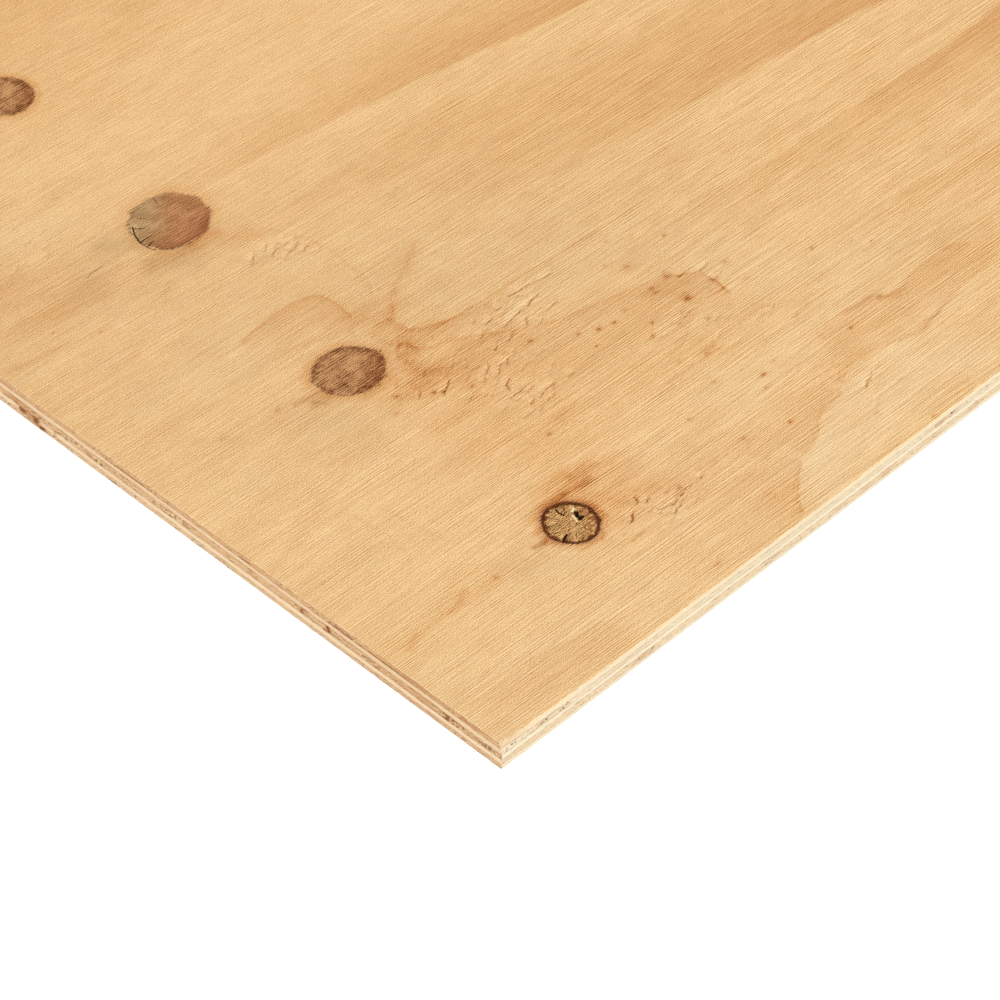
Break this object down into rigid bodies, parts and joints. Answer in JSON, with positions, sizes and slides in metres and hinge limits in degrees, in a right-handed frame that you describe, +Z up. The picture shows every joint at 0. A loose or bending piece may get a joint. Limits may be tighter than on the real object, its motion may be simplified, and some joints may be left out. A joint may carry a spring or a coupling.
{
  "type": "plywood_sheet",
  "caption": "Flat rectangular softwood plywood sheet of cross-laminated veneers with square-cut edges and one worn corner, used for sheathing, flooring and joinery.",
  "frame": {"origin": "Middle of the back face, the face the sheet lies on.", "axes": "+X runs along the sheet's length and the face grain, with the worn corner at the -X, -Y end; +Y runs across the sheet's width; +Z points up out of the face veneer."},
  "size_m": [2.44, 1.22, 0.012],
  "materials": {
    "face_veneer_wood": "raw",
    "crossband_wood": "raw",
    "core_wood": "raw",
    "back_veneer_wood": "raw"
  },
  "bodies": {
    "root": {"back_veneer": "back_veneer_wood", "lower_crossband": "crossband_wood", "core_veneer": "core_wood", "upper_crossband": "crossband_wood", "face_veneer": "face_veneer_wood"}
  },
  "joints": []
}
